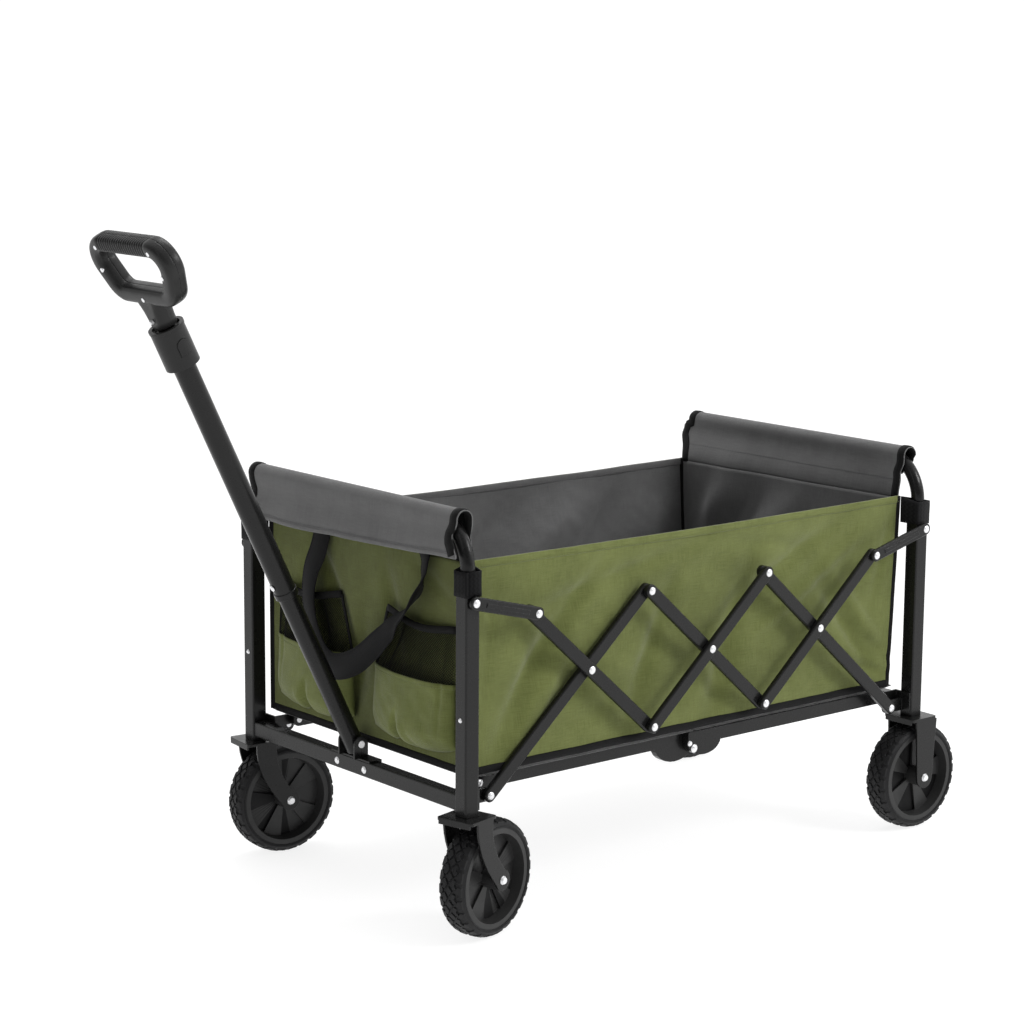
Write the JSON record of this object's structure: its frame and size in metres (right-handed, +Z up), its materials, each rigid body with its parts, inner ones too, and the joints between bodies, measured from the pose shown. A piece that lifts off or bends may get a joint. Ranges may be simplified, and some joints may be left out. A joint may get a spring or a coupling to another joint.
{
  "type": "folding camp wagon",
  "caption": "Folding pull wagon: fabric bay on a scissor frame between two end frames, with swivel front wheels, fixed rear wheels and a telescopic D-grip handle.",
  "frame": {"origin": "on the ground under the middle of the whole wagon's bounding box, open, with the handle leaning forward", "axes": "+X towards the rear, handle at -X; +Y to the right-hand side; +Z up"},
  "size_m": [1.3706, 0.5884, 0.9846],
  "materials": {
    "frame_paint": "satin black powder coat",
    "zinc": "bright zinc plate",
    "green_cloth": "woven polyester",
    "grey_cloth": "woven polyester",
    "webbing": "woven nylon webbing",
    "mesh": "open knitted mesh",
    "wheel_plastic": "matt moulded",
    "tread": "matt",
    "grip_plastic": "satin moulded"
  },
  "bodies": {
    "front_frame": {"front_post_left": "frame_paint", "front_post_right": "frame_paint", "front_crossbar": "frame_paint", "front_top_rail": "frame_paint", "handle_bracket": "frame_paint", "front_rivets": "zinc", "front_panel": "green_cloth", "front_sleeve": "grey_cloth", "front_pockets": "green_cloth", "front_webbing": "webbing", "side_panel_left": "green_cloth", "side_panel_right": "green_cloth"},
    "rear_frame": {"rear_post_left": "frame_paint", "rear_post_right": "frame_paint", "rear_crossbar": "frame_paint", "rear_top_rail": "frame_paint", "rear_forks": "frame_paint", "rear_rivets": "zinc", "rear_panel": "green_cloth", "rear_sleeve": "grey_cloth", "rear_webbing": "webbing"},
    "lower_front_bar": {"lower_front_bars": "frame_paint", "lower_front_rivets": "zinc"},
    "upper_front_bar": {"upper_front_bars": "frame_paint"},
    "mid_rising_bar": {"mid_rising_bars": "frame_paint", "mid_rising_rivets": "zinc"},
    "mid_falling_bar": {"mid_falling_bars": "frame_paint"},
    "upper_rear_bar": {"upper_rear_bars": "frame_paint", "upper_rear_rivets": "zinc"},
    "lower_rear_bar": {"lower_rear_bars": "frame_paint"},
    "front_link": {"front_links": "frame_paint", "front_link_rivets": "zinc"},
    "rear_link": {"rear_links": "frame_paint", "rear_link_rivets": "zinc"},
    "front_floor": {"front_floor_frame": "frame_paint", "front_floor_board": "grey_cloth"},
    "rear_floor": {"rear_floor_frame": "frame_paint", "rear_floor_board": "grey_cloth", "floor_pins": "zinc"},
    "handle": {"handle_lower_tube": "frame_paint", "handle_upper_tube": "frame_paint", "handle_collar": "grip_plastic"},
    "grip": {"handle_inner_tube": "frame_paint", "grip_front_shell": "grip_plastic", "grip_back_shell": "grip_plastic", "grip_screws": "zinc"},
    "button": {"handle_button": "grip_plastic"},
    "caster_left": {"caster_fork_left": "frame_paint", "caster_axle_left": "zinc"},
    "front_wheel_left": {"front_wheel_left": "wheel_plastic", "front_tyre_left": "tread"},
    "rear_wheel_left": {"rear_wheel_left": "wheel_plastic", "rear_tyre_left": "tread"},
    "caster_right": {"caster_fork_right": "frame_paint", "caster_axle_right": "zinc"},
    "front_wheel_right": {"front_wheel_right": "wheel_plastic", "front_tyre_right": "tread"},
    "rear_wheel_right": {"rear_wheel_right": "wheel_plastic", "rear_tyre_right": "tread"}
  },
  "joints": [
    {"name": "fold", "type": "hinge", "parent": "front_frame", "child": "lower_front_bar", "pos_m": [-0.25638, 0, 0.201], "axis": [0, -1, 0], "range_deg": [0, 40.5], "deforming": ["side_panel_left", "side_panel_right", "front_floor_board", "rear_floor_board"]},
    {"name": "upper_front_fold", "type": "hinge", "parent": "lower_front_bar", "child": "upper_front_bar", "pos_m": [-0.08056, 0, 0.35655], "axis": [0, -1, 0], "range_deg": [-81.05, 0]},
    {"name": "mid_rising_fold", "type": "hinge", "parent": "upper_front_bar", "child": "mid_rising_bar", "pos_m": [0.03253, 0, 0.25649], "axis": [0, -1, 0], "range_deg": [0, 81.05]},
    {"name": "mid_falling_fold", "type": "hinge", "parent": "mid_rising_bar", "child": "mid_falling_bar", "pos_m": [0.14563, 0, 0.35655], "axis": [0, -1, 0], "range_deg": [-81.05, 0]},
    {"name": "upper_rear_fold", "type": "hinge", "parent": "mid_falling_bar", "child": "upper_rear_bar", "pos_m": [0.25872, 0, 0.25649], "axis": [0, -1, 0], "range_deg": [0, 81.05]},
    {"name": "lower_rear_fold", "type": "hinge", "parent": "upper_rear_bar", "child": "lower_rear_bar", "pos_m": [0.37181, 0, 0.35655], "axis": [0, -1, 0], "range_deg": [-81.05, 0]},
    {"name": "rear_frame_fold", "type": "hinge", "parent": "lower_rear_bar", "child": "rear_frame", "pos_m": [0.54763, 0, 0.201], "axis": [0, -1, 0], "range_deg": [0, 40.55]},
    {"name": "front_link_fold", "type": "hinge", "parent": "front_frame", "child": "front_link", "pos_m": [-0.30438, 0, 0.48538], "axis": [0, -1, 0], "range_deg": [0, 73.19]},
    {"name": "rear_link_fold", "type": "hinge", "parent": "rear_frame", "child": "rear_link", "pos_m": [0.59562, 0, 0.48538], "axis": [0, -1, 0], "range_deg": [-73.19, 0]},
    {"name": "front_floor_fold", "type": "hinge", "parent": "front_frame", "child": "front_floor", "pos_m": [-0.25638, 0, 0.214], "axis": [0, -1, 0], "range_deg": [0, 81.63]},
    {"name": "rear_floor_fold", "type": "hinge", "parent": "rear_frame", "child": "rear_floor", "pos_m": [0.54763, 0, 0.214], "axis": [0, -1, 0], "range_deg": [-81.63, 0]},
    {"name": "handle_tilt", "type": "hinge", "parent": "front_frame", "child": "handle", "pos_m": [-0.30938, 0, 0.234], "axis": [0, -1, 0], "range_deg": [-14, 64]},
    {"name": "handle_slide", "type": "slide", "parent": "handle", "child": "grip", "axis": [-0.4399, 0, 0.898], "range_m": [0, 0.26]},
    {"name": "button_press", "type": "slide", "parent": "handle", "child": "button", "axis": [0, 1, 0], "range_m": [0, 0.003], "stiffness_N_per_m": 800, "springref_m": -0.001},
    {"name": "caster_swivel_left", "type": "hinge", "parent": "front_frame", "child": "caster_left", "pos_m": [-0.30438, -0.259, 0.1], "axis": [0, 0, 1], "continuous": true},
    {"name": "front_spin_left", "type": "hinge", "parent": "caster_left", "child": "front_wheel_left", "pos_m": [-0.26217, -0.24848, 0.085], "axis": [-0.2419, 0.9703, 0], "continuous": true},
    {"name": "caster_swivel_right", "type": "hinge", "parent": "front_frame", "child": "caster_right", "pos_m": [-0.30438, 0.259, 0.1], "axis": [0, 0, 1], "continuous": true},
    {"name": "front_spin_right", "type": "hinge", "parent": "caster_right", "child": "front_wheel_right", "pos_m": [-0.26111, 0.25445, 0.085], "axis": [0.1045, 0.9945, 0], "continuous": true},
    {"name": "rear_spin_left", "type": "hinge", "parent": "rear_frame", "child": "rear_wheel_left", "pos_m": [0.59962, -0.259, 0.085], "axis": [0, 1, 0], "continuous": true},
    {"name": "rear_spin_right", "type": "hinge", "parent": "rear_frame", "child": "rear_wheel_right", "pos_m": [0.59962, 0.259, 0.085], "axis": [0, 1, 0], "continuous": true}
  ],
  "couplings": [
    {"joint": "upper_front_fold", "follows": "fold", "ratio": -2},
    {"joint": "mid_rising_fold", "follows": "fold", "ratio": 2},
    {"joint": "mid_falling_fold", "follows": "fold", "ratio": -2},
    {"joint": "upper_rear_fold", "follows": "fold", "ratio": 2},
    {"joint": "lower_rear_fold", "follows": "fold", "ratio": -2},
    {"joint": "rear_frame_fold", "follows": "fold", "ratio": 1},
    {"joint": "front_link_fold", "follows": "fold", "ratio": 1.8059},
    {"joint": "rear_link_fold", "follows": "fold", "ratio": -1.8059},
    {"joint": "front_floor_fold", "follows": "fold", "ratio": 2.0143},
    {"joint": "rear_floor_fold", "follows": "fold", "ratio": -2.0143}
  ]
}
